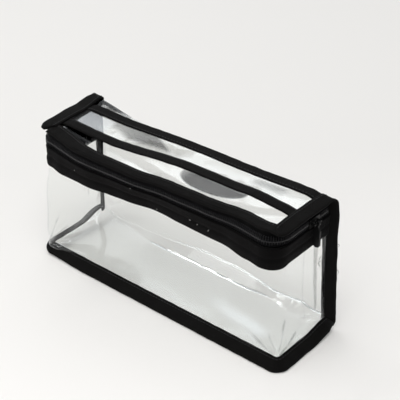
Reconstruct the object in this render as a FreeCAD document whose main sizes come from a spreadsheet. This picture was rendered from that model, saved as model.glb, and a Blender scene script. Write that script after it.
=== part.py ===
"""Clear makeup bag with bound seams, a zip-round lid, a carry handle, and a zip with its pull.

Millimetres, +Z up, X along the length, the front faces -Y.  The origin is the middle of the
outline on the surface that the bag stands on.
"""
import FreeCAD, Part
import math
import os

import Sketcher

doc = FreeCAD.newDocument("makeup_bag")

# ---------------------------------------------------------------- driving dimensions

SIZES = {
    "box_length": 212,  # clear box, end face to end face
    "box_depth": 55,  # clear box, front face to back face
    "seam_reach": 7.8,  # how far a seam fin stands out, and down, at 45 degrees
    "seam_flat": 1.1,  # half the width of the flat that a seam fin is cut to
    "sheet": 0.5,  # clear vinyl
    "end_lean": 3,  # how far each end leans in from the bottom seam up to the band
    "lid_overhang": 2,  # how far the lid's end seams reach beyond the bottom seam's corners
    "bottom_corner": 3,  # front corners at the bottom seam, seen from above
    "top_corner": 16,  # front corners at the zip and the lid, seen from above
    "back_fold": 6,  # roll of the sheet where the back turns into the bottom
    "wrap_top": 84.5,  # upper edge of the clear front, behind the band
    "band_bottom": 80,
    "band_top": 94,
    "band_cloth": 0.8,
    "zip_tape": 0.6,  # thickness of the woven zip tape
    "zip_middle": 100,  # level of the middle of the zip
    "coil_slit": 0.6,  # gap between the two halves of the coil
    "coil_side": 2.8,  # height of one half of the coil
    "coil_proud": 0.8,  # how far the coil stands out of the box face
    "coil_deep": 1.2,  # and how far it reaches in
    "lid_level": 107,  # underside of the lid's sheet
    "binding": 1,  # folded binding tape lying flat
    "end_tape": 11,  # width of the binding on the lid's two ends
    "front_tape": 8.5,  # width of the binding on the lid's front edge
    "hinge_space": 1.5,  # between the lid's parts and the fold that they turn about
    "back_drop": 2,  # from the fold down to the back sheet's upper edge
    "fin_drop": 3,  # from the lid's underside down to the top of the back fins
    "handle_width": 32,
    "handle_tape": 8,
    "handle_cloth": 1.4,  # folded tape with the handle's sheet inside it
    "handle_rise": 6.5,
    "stop_length": 2.5,
    "slider_rest": 9,  # how far behind the middle the closed slider sits
    "slider_length": 11,
    "slider_height": 6.6,
    "outer_plate": 1.2,
    "inner_plate": 0.9,
    "slider_fit": 0.3,  # clearance between the slider's plates and the coil
    "web_length": 7,
    "web": 0.4,  # post between the plates, thin enough for the slit
    "bridge_length": 8,
    "bridge_post": 1.4,
    "bridge_reach": 2.3,  # from the outer plate to the axis that the pull turns about
    "bar_radius": 0.6,  # radius of the bar that the pull hangs from
    "pull_eye": 2,
    "pull_hole": 1,
    "pull_neck": 1.2,
    "pull_half": 2.6,
    "pull_tip": 2.9,  # radius of the tab's round lower end
    "pull_shoulder": 5.6,
    "pull_straight": 17.2,  # from the axis down to where the pull's round end begins
    "pull_thick": 1.6,
}

sizes = doc.addObject("Spreadsheet::Sheet", "sizes")
for row, (alias, value) in enumerate(SIZES.items(), start=1):
    sizes.set(f"A{row}", alias)
    sizes.set(f"B{row}", str(value))
    sizes.setAlias(f"B{row}", alias)
doc.recompute()


class Size:
    """A length as a number together with the sheet expression that gives it."""

    def __init__(self, number, text):
        self.number = number
        self.text = text

    def __add__(self, other):
        other = as_size(other)
        return Size(self.number + other.number, f"({self.text} + {other.text})")

    def __sub__(self, other):
        other = as_size(other)
        return Size(self.number - other.number, f"({self.text} - {other.text})")

    def __mul__(self, factor):
        return Size(self.number * factor, f"({self.text} * {factor})")

    def __truediv__(self, factor):
        return Size(self.number / factor, f"({self.text} / {factor})")

    def __neg__(self):
        return Size(-self.number, f"(0 - {self.text})")


def as_size(value):
    """A plain number as a Size; a Size stays as it is."""
    return value if isinstance(value, Size) else Size(float(value), str(value))


def cell(alias):
    """The Size held by one cell of the sheet."""
    return Size(float(SIZES[alias]), f"sizes.{alias}")


ZERO = as_size(0)
HALF_LENGTH = cell("box_length") / 2
# The front fin's flat foot reaches further out than the back fins, so the box sits half of
# that behind the origin, which keeps the origin under the middle of the outline.
FRONT = cell("seam_flat") / 2 - cell("box_depth") / 2
BACK = cell("seam_flat") / 2 + cell("box_depth") / 2
FLOOR_OF_BOX = cell("seam_reach")
COIL_LOW = cell("zip_middle") - cell("coil_slit") / 2 - cell("coil_side")
COIL_HIGH = cell("zip_middle") + cell("coil_slit") / 2
LID_SHEET_TOP = cell("lid_level") + cell("sheet")
LID_REAR = BACK - cell("hinge_space")
ZIP_END = HALF_LENGTH - cell("end_lean")
LID_END = HALF_LENGTH + cell("lid_overhang")
HANDLE_END = LID_END - cell("end_tape")

# ---------------------------------------------------------------- sketches and features


def new_body(label):
    """An empty body whose label is the sub-part's name."""
    body = doc.addObject("PartDesign::Body", label)
    body.Label = label
    return body


def sketch_on(body, role, offset=ZERO):
    """A sketch on one of the body's own origin planes, moved along its normal by offset."""
    plane = next(item for item in body.Origin.OriginFeatures if item.Role == role)
    sketch = body.newObject("Sketcher::SketchObject", f"{body.Label}_sketch")
    sketch.AttachmentSupport = [(plane, "")]
    sketch.MapMode = "FlatFace"
    sketch.setExpression("AttachmentOffset.Base.z", offset.text)
    return sketch


def drive(sketch, constraint, size):
    """Add a dimension to a sketch and tie it to the sheet."""
    index = sketch.addConstraint(constraint)
    sketch.setExpression(f"Constraints[{index}]", size.text)


def arc_geometry(first, last, radius, clockwise):
    """The arc of a given radius from first to last, as the sketcher stores it."""
    chord = last - first
    left = FreeCAD.Vector(-chord.y, chord.x, 0).normalize()
    rise = math.sqrt(max(radius**2 - (chord.Length / 2) ** 2, 0))
    centre = (first + last) / 2 + left * (-rise if clockwise else rise)
    start, end = (last, first) if clockwise else (first, last)
    start_angle = math.atan2(start.y - centre.y, start.x - centre.x)
    end_angle = math.atan2(end.y - centre.y, end.x - centre.x)
    if end_angle < start_angle:
        end_angle += 2 * math.pi
    circle = Part.Circle(centre, FreeCAD.Vector(0, 0, 1), radius)
    return Part.ArcOfCircle(circle, start_angle, end_angle)


def draw(sketch, corners, closed=True):
    """Draw sides through the corners.

    A corner is (x, y) before a straight side, or (x, y, radius, clockwise) before an arc.
    """
    points = [FreeCAD.Vector(as_size(c[0]).number, as_size(c[1]).number, 0) for c in corners]
    count = len(corners) if closed else len(corners) - 1
    ends = []
    for index in range(count):
        corner = corners[index]
        first = points[index]
        last = points[(index + 1) % len(points)]
        if len(corner) == 2:
            side = sketch.addGeometry(Part.LineSegment(first, last), False)
            ends.append((side, 1, 2))
            continue
        radius = as_size(corner[2])
        clockwise = corner[3]
        side = sketch.addGeometry(arc_geometry(first, last, radius.number, clockwise), False)
        ends.append((side, 2, 1) if clockwise else (side, 1, 2))
        drive(sketch, Sketcher.Constraint("Radius", side, radius.number), radius)
    for index in range(count if closed else count - 1):
        side, _, end = ends[index]
        following, start, _ = ends[(index + 1) % count]
        sketch.addConstraint(Sketcher.Constraint("Coincident", side, end, following, start))
    places = [(side, start) for side, start, _ in ends]
    if not closed:
        places.append((ends[-1][0], ends[-1][2]))
    for (side, position), corner in zip(places, corners):
        for kind, size in (("DistanceX", as_size(corner[0])), ("DistanceY", as_size(corner[1]))):
            drive(sketch, Sketcher.Constraint(kind, -1, 1, side, position, size.number), size)
    return sketch


def draw_circle(sketch, x, y, radius):
    """Draw a full circle."""
    x, y, radius = as_size(x), as_size(y), as_size(radius)
    centre = FreeCAD.Vector(x.number, y.number, 0)
    circle = Part.Circle(centre, FreeCAD.Vector(0, 0, 1), radius.number)
    side = sketch.addGeometry(circle, False)
    drive(sketch, Sketcher.Constraint("Radius", side, radius.number), radius)
    drive(sketch, Sketcher.Constraint("DistanceX", -1, 1, side, 3, x.number), x)
    drive(sketch, Sketcher.Constraint("DistanceY", -1, 1, side, 3, y.number), y)
    return sketch


def feature(body, kind, sketch, length, both_ways=False, backwards=False):
    """A pad or pocket of a sketch, its length tied to the sheet."""
    made = body.newObject(f"PartDesign::{kind}", f"{body.Label}_{kind.lower()}")
    made.Profile = sketch
    made.setExpression("Length", as_size(length).text)
    made.Midplane = both_ways
    made.Reversed = backwards
    sketch.Visibility = False
    return made


def block(body, x_pair, y_pair, z_pair):
    """Pad a rectangle that spans the given pairs of Sizes."""
    sketch = sketch_on(body, "XY_Plane", as_size(z_pair[0]))
    low_x, high_x = x_pair
    low_y, high_y = y_pair
    draw(sketch, [(low_x, low_y), (high_x, low_y), (high_x, high_y), (low_x, high_y)])
    return feature(body, "Pad", sketch, as_size(z_pair[1]) - as_size(z_pair[0]))


def wall_outline(sketch, end, out, deep, corner, rear):
    """Outline of a wall round the left end, the front and the right end.

    The end faces are at x = end either side.  The wall stands out of the faces by out,
    reaches in by deep, has outer corners of the given radius plus out, and stops at rear.
    """
    outer_x = end + out
    inner_x = end - deep
    outer_y = FRONT - out
    inner_y = FRONT + deep
    bend_x = end - corner
    bend_y = FRONT + corner
    outer = corner + out
    inner = corner - deep
    return draw(sketch, [
        (-outer_x, rear), (-outer_x, bend_y, outer, False),
        (-bend_x, outer_y), (bend_x, outer_y, outer, False),
        (outer_x, bend_y), (outer_x, rear),
        (inner_x, rear), (inner_x, bend_y, inner, True),
        (bend_x, inner_y), (-bend_x, inner_y, inner, True),
        (-inner_x, bend_y), (-inner_x, rear),
    ])


def upright_wall(label, out, deep, low, high, rear):
    """A strip of constant section standing round three sides of the box."""
    body = new_body(label)
    sketch = sketch_on(body, "XY_Plane", low)
    wall_outline(sketch, ZIP_END, out, deep, cell("top_corner"), rear)
    feature(body, "Pad", sketch, high - low)


# ---------------------------------------------------------------- clear sheets


def back_bottom_panel():
    """Back and bottom: one sheet, rolled at the lower back edge, inside the front wrap."""
    body = new_body("back_bottom_panel")
    sheet = cell("sheet")
    roll = cell("back_fold")
    front = FRONT + sheet
    top = cell("lid_level") + sheet / 2 - cell("back_drop")
    sketch = draw(sketch_on(body, "YZ_Plane"), [
        (front, FLOOR_OF_BOX), (BACK - roll, FLOOR_OF_BOX, roll, False),
        (BACK, FLOOR_OF_BOX + roll), (BACK, top),
        (BACK - sheet, top), (BACK - sheet, FLOOR_OF_BOX + roll, roll - sheet, True),
        (BACK - roll, FLOOR_OF_BOX + sheet), (front, FLOOR_OF_BOX + sheet),
    ])
    pad = feature(body, "Pad", sketch, cell("box_length") - sheet * 2, both_ways=True)
    doc.recompute()
    corners = [
        f"Edge{number}" for number, edge in enumerate(pad.Shape.Edges, start=1)
        if edge.BoundBox.YMax < front.number + 0.01 and edge.BoundBox.XLength < 0.01
    ]
    fillet = body.newObject("PartDesign::Fillet", "front_corners")
    fillet.Base = (pad, corners)
    fillet.setExpression("Radius", (cell("bottom_corner") - sheet).text)
    # The back narrows upwards between the leaning ends.
    foot = HALF_LENGTH - sheet
    waist = ZIP_END - sheet
    for side in (-1, 1):
        trim = draw(sketch_on(body, "XZ_Plane"), [
            (foot * side, FLOOR_OF_BOX), (waist * side, cell("band_bottom")),
            (waist * side, cell("lid_level")), (LID_END * side, cell("lid_level")),
            (LID_END * side, FLOOR_OF_BOX),
        ])
        feature(body, "Pocket", trim, cell("box_depth") * 2, both_ways=True)


def front_wrap_panel():
    """Left end, front and right end: one strip, its corners tight below and round above."""
    body = new_body("front_wrap_panel")
    waist = cell("band_bottom")
    levels = ((FLOOR_OF_BOX, HALF_LENGTH, "bottom_corner"), (waist, ZIP_END, "top_corner"))
    outlines = []
    for level, end, corner in levels:
        sketch = sketch_on(body, "XY_Plane", level)
        outlines.append(wall_outline(sketch, end, ZERO, cell("sheet"), cell(corner), BACK))
    loft = body.newObject("PartDesign::AdditiveLoft", "wrap_loft")
    loft.Profile = outlines[0]
    loft.Sections = [outlines[1]]
    loft.Ruled = True
    hem = sketch_on(body, "XY_Plane", waist)
    wall_outline(hem, ZIP_END, ZERO, cell("sheet"), cell("top_corner"), BACK)
    feature(body, "Pad", hem, cell("wrap_top") - waist)


def lid_panel():
    """The lid's clear sheet, with round front corners."""
    body = new_body("lid_panel")
    corner = cell("top_corner")
    sketch = draw(sketch_on(body, "XY_Plane", cell("lid_level")), [
        (-LID_END, LID_REAR), (-LID_END, FRONT + corner, corner, False),
        (corner - LID_END, FRONT), (LID_END - corner, FRONT, corner, False),
        (LID_END, FRONT + corner), (LID_END, LID_REAR),
    ])
    feature(body, "Pad", sketch, cell("sheet"))


# ---------------------------------------------------------------- bound seams


def bottom_binding():
    """Folded tape round three bottom edges, standing out and down at 45 degrees."""
    body = new_body("bottom_binding")
    corner = cell("bottom_corner")
    reach = cell("seam_reach")
    flat = cell("seam_flat")
    rear = BACK + reach
    path = draw(sketch_on(body, "XY_Plane", FLOOR_OF_BOX), [
        (-HALF_LENGTH, rear), (-HALF_LENGTH, FRONT + corner, corner, False),
        (corner - HALF_LENGTH, FRONT), (HALF_LENGTH - corner, FRONT, corner, False),
        (HALF_LENGTH, FRONT + corner), (HALF_LENGTH, rear),
    ], closed=False)
    section = draw(sketch_on(body, "XZ_Plane", -rear), [
        (flat - HALF_LENGTH, FLOOR_OF_BOX), (-HALF_LENGTH - flat, FLOOR_OF_BOX),
        (-HALF_LENGTH - reach - flat, ZERO), (flat - HALF_LENGTH - reach, ZERO),
    ])
    pipe = body.newObject("PartDesign::AdditivePipe", "seam_sweep")
    pipe.Profile = section
    pipe.Spine = (path, [])
    # The rear ends are cut on the slant where the back fins meet them.
    slant = draw(sketch_on(body, "YZ_Plane"), [
        (BACK, FLOOR_OF_BOX), (rear, ZERO), (rear + flat, ZERO), (rear + flat, FLOOR_OF_BOX),
    ])
    feature(body, "Pocket", slant, cell("box_length") * 2, both_ways=True)


def back_binding(label, side):
    """Folded tape up one back corner, standing out at 45 degrees; side is -1 or 1."""
    body = new_body(label)
    reach = cell("seam_reach")
    flat = cell("seam_flat")
    top = cell("lid_level") - cell("fin_drop")
    levels = (
        (ZERO, HALF_LENGTH), (FLOOR_OF_BOX, HALF_LENGTH), (cell("band_bottom"), ZIP_END), (top, ZIP_END),
    )
    sections = []
    for level, end in levels:
        corner_x = end * side
        tip_x = (end + reach) * side
        sections.append(draw(sketch_on(body, "XY_Plane", level), [
            (corner_x - flat, BACK), (corner_x + flat, BACK),
            (tip_x + flat, BACK + reach), (tip_x - flat, BACK + reach),
        ]))
    loft = body.newObject("PartDesign::AdditiveLoft", f"{label}_loft")
    loft.Profile = sections[0]
    loft.Sections = sections[1:]
    loft.Ruled = True
    slant = draw(sketch_on(body, "YZ_Plane"), [
        (BACK - flat, ZERO), (BACK + reach, ZERO), (BACK, FLOOR_OF_BOX),
        (BACK - flat, FLOOR_OF_BOX),
    ])
    feature(body, "Pocket", slant, cell("box_length") * 2, both_ways=True)


def corner_meeting():
    """Distance from the middle at which the front tape's inner edge meets the lid's round corner."""
    corner = cell("top_corner")
    tape = cell("front_tape")
    drop = corner.number - tape.number
    run_in = corner.number - math.sqrt(corner.number**2 - drop**2)
    inset = Size(run_in, f"({corner.text} - sqrt({corner.text}^2 - ({corner.text} - {tape.text})^2))")
    return LID_END - inset


def lid_end_binding(label, side):
    """Binding on one end of the lid, from the fold to the front binding."""
    body = new_body(label)
    corner = cell("top_corner")
    tape = cell("front_tape")
    outer = LID_END * side
    inner = HANDLE_END * side
    meet = corner_meeting() * side
    sketch = draw(sketch_on(body, "XY_Plane", LID_SHEET_TOP), [
        (outer, LID_REAR), (outer, FRONT + corner, corner, side > 0),
        (meet, FRONT + tape), (inner, FRONT + tape), (inner, LID_REAR),
    ])
    feature(body, "Pad", sketch, cell("binding"))


def lid_front_binding():
    """Binding on the front edge of the lid, round both corners."""
    body = new_body("lid_front_binding")
    corner = cell("top_corner")
    tape = cell("front_tape")
    meet = corner_meeting()
    sketch = draw(sketch_on(body, "XY_Plane", LID_SHEET_TOP), [
        (-meet, FRONT + tape, corner, False), (corner - LID_END, FRONT),
        (LID_END - corner, FRONT, corner, False), (meet, FRONT + tape),
    ])
    feature(body, "Pad", sketch, cell("binding"))


# ---------------------------------------------------------------- carry handle


def handle_piece(label, near, far, low, thick):
    """One strip of the handle: an arch over the lid, between y = near and y = far."""
    body = new_body(label)
    rise = cell("handle_rise")
    reach = HANDLE_END
    radius_value = (reach.number**2 + rise.number**2) / (2 * rise.number)
    radius = Size(radius_value, f"(({reach.text}^2 + {rise.text}^2) / (2 * {rise.text}))")
    sketch = draw(sketch_on(body, "XZ_Plane", -far), [
        (-reach, low, radius, True), (reach, low),
        (reach, low + thick, radius, False), (-reach, low + thick),
    ])
    feature(body, "Pad", sketch, far - near)


def handle():
    """The handle's two bound edges and the clear strip between them."""
    half = cell("handle_width") / 2
    inner = half - cell("handle_tape")
    cloth = cell("handle_cloth")
    handle_piece("handle_front_binding", -half, -inner, LID_SHEET_TOP, cloth)
    handle_piece("handle_rear_binding", inner, half, LID_SHEET_TOP, cloth)
    sheet_low = LID_SHEET_TOP + (cloth - cell("sheet")) / 2
    handle_piece("handle_strip", -inner, inner, sheet_low, cell("sheet"))


# ---------------------------------------------------------------- band and zip


def band_and_zip():
    """Fabric band, both halves of the zip's tape, and both halves of its coil."""
    sheet = cell("sheet")
    tape = cell("zip_tape")
    proud = cell("coil_proud")
    deep = cell("coil_deep")
    coil = cell("coil_side")
    coil_rear = BACK - cell("hinge_space") - cell("stop_length")
    upright_wall("zip_band", cell("band_cloth"), ZERO, cell("band_bottom"), cell("band_top"), BACK)
    upright_wall("zip_lower_tape", ZERO, tape, cell("wrap_top"), COIL_LOW, BACK - sheet)
    upright_wall("zip_lower_coil", proud, deep, COIL_LOW, COIL_LOW + coil, coil_rear)
    upright_wall("zip_upper_coil", proud, deep, COIL_HIGH, COIL_HIGH + coil, LID_REAR)
    upright_wall("zip_upper_tape", ZERO, tape, COIL_HIGH + coil, cell("lid_level"), LID_REAR)
    for label, side in (("left_zip_stop", -1), ("right_zip_stop", 1)):
        body = new_body(label)
        edges = [(ZIP_END - deep) * side, (ZIP_END + proud) * side]
        edges.sort(key=lambda size: size.number)
        block(body, edges, (coil_rear, BACK - cell("hinge_space")), (COIL_LOW, COIL_LOW + coil))


def place(body, x, y, z):
    """Put a body's own origin at a point tied to the sheet."""
    for axis, size in zip("xyz", (x, y, z)):
        body.setExpression(f"Placement.Base.{axis}", size.text)


def zip_slider():
    """Two plates, the web between them and the bridge, about the middle of the zip."""
    body = new_body("zip_slider")
    half_length = cell("slider_length") / 2
    half_height = cell("slider_height") / 2
    half_web = cell("web_length") / 2
    half_slit = cell("web") / 2
    outer_face = cell("coil_proud") + cell("slider_fit")
    inner_face = -cell("coil_deep") - cell("slider_fit")
    plate_top = outer_face + cell("outer_plate")
    along = (-half_length, half_length)
    upright = (-half_height, half_height)
    block(body, (outer_face, plate_top), along, upright)
    block(body, (inner_face, outer_face), (-half_web, half_web), (-half_slit, half_slit))
    block(body, (inner_face - cell("inner_plate"), inner_face), along, upright)
    axis_x = plate_top + cell("bridge_reach")
    half_bridge = cell("bridge_length") / 2
    bar = cell("bar_radius")
    for side in (-1, 1):
        ends = [half_bridge * side, (half_bridge - cell("bridge_post")) * side]
        ends.sort(key=lambda size: size.number)
        block(body, (plate_top, axis_x + bar), ends, (-bar, bar))
    bar_sketch = draw_circle(sketch_on(body, "XZ_Plane"), axis_x, ZERO, bar)
    feature(body, "Pad", bar_sketch, cell("bridge_length") - cell("bridge_post"), both_ways=True)
    place(body, ZIP_END, cell("slider_rest"), cell("zip_middle"))


def zip_pull():
    """A flat tab with a round end below and an eye round the bridge's bar above."""
    body = new_body("zip_pull")
    neck = cell("pull_neck")
    half = cell("pull_half")
    shoulder = cell("pull_shoulder")
    straight = cell("pull_straight")
    thick = cell("pull_thick")
    eye = cell("pull_eye")
    tip = cell("pull_tip")
    tab = draw(sketch_on(body, "XZ_Plane"), [
        (-neck, ZERO), (-neck, half - shoulder), (-half, -shoulder), (-half, -straight, tip, False),
        (half, -straight), (half, -shoulder), (neck, half - shoulder), (neck, ZERO),
    ])
    feature(body, "Pad", tab, thick, both_ways=True)
    ring = draw_circle(sketch_on(body, "XZ_Plane"), ZERO, ZERO, eye)
    feature(body, "Pad", ring, thick, both_ways=True)
    hole = draw_circle(sketch_on(body, "XZ_Plane"), ZERO, ZERO, cell("pull_hole"))
    feature(body, "Pocket", hole, thick * 2, both_ways=True)
    outer_face = ZIP_END + cell("coil_proud") + cell("slider_fit")
    axis_x = outer_face + cell("outer_plate") + cell("bridge_reach")
    place(body, axis_x, cell("slider_rest"), cell("zip_middle"))


# ---------------------------------------------------------------- build, check and write

back_bottom_panel()
front_wrap_panel()
bottom_binding()
back_binding("left_back_binding", -1)
back_binding("right_back_binding", 1)
band_and_zip()
lid_panel()
lid_end_binding("lid_left_binding", -1)
lid_end_binding("lid_right_binding", 1)
lid_front_binding()
handle()
zip_slider()
zip_pull()
doc.recompute()

for item in doc.Objects:
    if "Invalid" in item.State or "Error" in item.State:
        raise RuntimeError(f"{item.Label} did not build: {item.State}")

sub_parts = [item for item in doc.Objects if item.TypeId == "PartDesign::Body"]
for part in sub_parts:
    if part.Shape.isNull() or not part.Shape.isValid():
        raise RuntimeError(f"{part.Label} has no valid shape")

os.makedirs("parts", exist_ok=True)
for part in sub_parts:
    part.Shape.exportStep(f"parts/{part.Label}.step")
    print(part.Label, len(part.Shape.Solids), "solid", round(part.Shape.Volume, 2), "mm3")
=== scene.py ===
"""Clear makeup bag: creased vinyl, bound seams, fabric band, coil zip and carry handle."""
import math

import bpy
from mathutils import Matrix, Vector, noise


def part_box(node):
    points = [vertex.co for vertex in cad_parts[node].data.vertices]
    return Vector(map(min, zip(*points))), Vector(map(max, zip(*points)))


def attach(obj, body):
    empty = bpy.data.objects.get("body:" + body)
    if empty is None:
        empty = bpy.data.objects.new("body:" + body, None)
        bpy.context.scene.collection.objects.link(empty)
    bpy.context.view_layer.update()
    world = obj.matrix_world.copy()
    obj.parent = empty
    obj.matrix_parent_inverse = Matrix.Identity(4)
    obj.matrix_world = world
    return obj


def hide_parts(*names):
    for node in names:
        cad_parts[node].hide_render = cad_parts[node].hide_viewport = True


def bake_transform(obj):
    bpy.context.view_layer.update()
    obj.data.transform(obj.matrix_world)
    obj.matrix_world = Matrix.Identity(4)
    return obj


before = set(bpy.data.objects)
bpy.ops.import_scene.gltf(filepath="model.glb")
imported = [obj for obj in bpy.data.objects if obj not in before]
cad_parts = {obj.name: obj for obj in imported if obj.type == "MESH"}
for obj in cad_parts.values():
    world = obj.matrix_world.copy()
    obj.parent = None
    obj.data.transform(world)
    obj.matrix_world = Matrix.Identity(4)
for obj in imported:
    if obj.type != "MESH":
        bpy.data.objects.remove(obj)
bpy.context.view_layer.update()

# Lengths below are in millimetres; MM turns them into Blender's metres.
MM = 0.001


def edges(node):
    """Lowest and highest corner of a CAD node, in millimetres."""
    low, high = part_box(node)
    return low / MM, high / MM


WRAP_LOW, WRAP_HIGH = edges("front_wrap_panel")
BAND_LOW, BAND_HIGH = edges("zip_band")
LID_LOW, LID_HIGH = edges("lid_panel")

HALF = WRAP_HIGH.x  # half length of the clear box at the bottom seam
FRONT = WRAP_LOW.y
BACK = WRAP_HIGH.y
BASE = WRAP_LOW.z  # level of the bottom sheet
WRAP_TOP = WRAP_HIGH.z
ZIP_END = edges("zip_upper_tape")[1].x  # half length at the zip
BAND_BOTTOM = BAND_LOW.z
BAND_TOP = BAND_HIGH.z
ZIP_MIDDLE = (edges("zip_lower_coil")[1].z + edges("zip_upper_coil")[0].z) / 2
LID_END = LID_HIGH.x
LID_LEVEL = LID_LOW.z
BOTTOM_CORNER = 3.0
TOP_CORNER = {-1: 5.5, 1: 12.5}  # front corner radius at the band, by side
DEPTH = BACK - FRONT
SHEET = 0.4  # vinyl thickness
TAPE = 1.3  # folded binding thickness
TAPE_WIDE = 11.0
BOTTOM_LEVEL = BASE + 0.4  # middle of the bottom sheet
LID_SHEET = LID_LEVEL + 0.3  # middle of the lid's sheet, before it sags
LID_HALF = LID_END - 1.5  # half length of the lid's clear sheet
SIDE_GAP = 0.6  # between the folded sheet's sides and the end walls
LID_TAPE_RISE = 1.1  # from the lid's sheet to the middle of a side tape on it
COIL_PITCH = 1.35
THREAD_SLOT = 1  # a sewn piece's second material

# ---------------------------------------------------------------- small helpers


def ramp(value, low, high):
    """0 below low, 1 above high, smooth between."""
    t = min(max((value - low) / (high - low), 0.0), 1.0)
    return t * t * (3 - 2 * t)


def along(value, stations):
    """Smooth curve through (place, height) stations, level beyond its ends."""
    if value <= stations[0][0]:
        return stations[0][1]
    for (x0, y0), (x1, y1) in zip(stations, stations[1:]):
        if value <= x1:
            return y0 + (y1 - y0) * ramp(value, x0, x1)
    return stations[-1][1]


def ridge(distance, width):
    """1 at no distance, falling to 0 on both sides over about twice the width."""
    return math.exp(-(distance / width) ** 2)


def hump(t):
    """0 at 0 and at 1, and 1 halfway."""
    return math.sin(math.pi * min(max(t, 0.0), 1.0))


def rough(point, scale, seed):
    """Perlin noise from -1 to 1 at a point in millimetres."""
    return noise.noise(Vector(point) / scale + Vector((seed, 2 * seed, 3 * seed)))


def frange(low, high, count):
    """count evenly spaced values from low to high."""
    return [low + (high - low) * i / (count - 1) for i in range(count)]


class Build:
    """Points, faces, face materials, UVs and marks gathered for one piece."""

    def __init__(self):
        self.points = []
        self.marks = []
        self.uvs = []
        self.faces = []
        self.slots = []

    def grid(self, rows, slot=0, closed=False, uvs=None, marks=None):
        """Quads between rows of points; closed joins each row's end to its start.

        marks holds each point's (painted highlight, painted shade), both from 0 to 1.
        """
        start = len(self.points)
        width = len(rows[0])
        for i, row in enumerate(rows):
            for j, point in enumerate(row):
                self.points.append(Vector(point))
                self.uvs.append(uvs[i][j] if uvs else (i * MM, j * MM))
                self.marks.append(marks[i][j] if marks else (0.0, 0.0))
        for i in range(len(rows) - 1):
            for j in range(width if closed else width - 1):
                a = start + i * width + j
                b = start + i * width + (j + 1) % width
                self.faces.append((a, b, b + width, a + width))
                self.slots.append(slot)
        return start

    def cap(self, indices, slot=0):
        """One face over a ring of points."""
        self.faces.append(tuple(indices))
        self.slots.append(slot)

    def tube(self, centres, radii, sides=6, slot=0):
        """A closed round tube along centres, one radius for each."""
        rows = []
        for i, centre in enumerate(centres):
            ahead = centres[min(i + 1, len(centres) - 1)]
            behind = centres[max(i - 1, 0)]
            direction = (ahead - behind).normalized()
            side = direction.orthogonal().normalized() if i == 0 else side
            side = (side - direction * side.dot(direction)).normalized()
            other = direction.cross(side)
            ring = []
            for k in range(sides):
                angle = 2 * math.pi * k / sides
                spoke = side * math.cos(angle) + other * math.sin(angle)
                ring.append(centre + spoke * radii[i])
            rows.append(ring)
        start = self.grid(rows, slot, closed=True)
        self.cap(reversed(range(start, start + sides)), slot)
        end = start + (len(rows) - 1) * sides
        self.cap(range(end, end + sides), slot)

    def make(self, name, materials):
        """Turn what was gathered into a Blender object."""
        mesh = bpy.data.meshes.new(name)
        mesh.from_pydata([p * MM for p in self.points], [], self.faces)
        mesh.polygons.foreach_set("material_index", self.slots)
        mesh.polygons.foreach_set("use_smooth", [True] * len(self.faces))
        layer = mesh.uv_layers.new(name="UVMap")
        for loop in mesh.loops:
            layer.data[loop.index].uv = self.uvs[loop.vertex_index]
        # The mark attribute holds each point's painted highlight and painted shade.
        if any(painted_highlight or painted_shade for painted_highlight, painted_shade in self.marks):
            mark = mesh.color_attributes.new("mark", "FLOAT_COLOR", "POINT")
            for item, (painted_highlight, painted_shade) in zip(mark.data, self.marks):
                item.color = (painted_highlight, painted_shade, 0.0, 1.0)
        for material in materials:
            mesh.materials.append(material)
        mesh.validate()
        mesh.update()
        piece = bpy.data.objects.new(name, mesh)
        bpy.context.scene.collection.objects.link(piece)
        return piece


def thicken(piece, thickness):
    """Give a single-surface sheet its real thickness."""
    modifier = piece.modifiers.new("thickness", "SOLIDIFY")
    modifier.thickness = thickness * MM
    modifier.offset = 0
    modifier.use_even_offset = False
    return piece


# ---------------------------------------------------------------- materials


def new_material(name):
    """An empty node material, its node tree, and its Principled shader."""
    material = bpy.data.materials.new(name)
    material.use_nodes = True
    tree = material.node_tree
    return material, tree, tree.nodes["Principled BSDF"]


def node(tree, kind, inputs=(), **settings):
    """Add a node, set its properties, and set or link its inputs."""
    made = tree.nodes.new(kind)
    for key, value in settings.items():
        setattr(made, key, value)
    for key, value in dict(inputs).items():
        if isinstance(value, bpy.types.NodeSocket):
            tree.links.new(value, made.inputs[key])
        else:
            made.inputs[key].default_value = value
    return made


def calculate(tree, operation, *values, **settings):
    """The output of a Math node over numbers and sockets."""
    inputs = dict(enumerate(values))
    return node(tree, "ShaderNodeMath", inputs, operation=operation, **settings).outputs[0]


def mix(tree, share, low, high):
    """A colour between low and high, each a colour or a socket."""
    return node(tree, "ShaderNodeMixRGB", {0: share, 1: low, 2: high}).outputs[0]


def shaded(colour, factor):
    """A colour made darker or lighter, with an alpha of 1."""
    return (*[part * factor for part in colour], 1)


def bump(tree, height, strength, distance, normal=None):
    """A Bump node over a height socket."""
    inputs = {"Height": height, "Strength": strength, "Distance": distance}
    if normal is not None:
        inputs["Normal"] = normal
    return node(tree, "ShaderNodeBump", inputs).outputs["Normal"]


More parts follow.
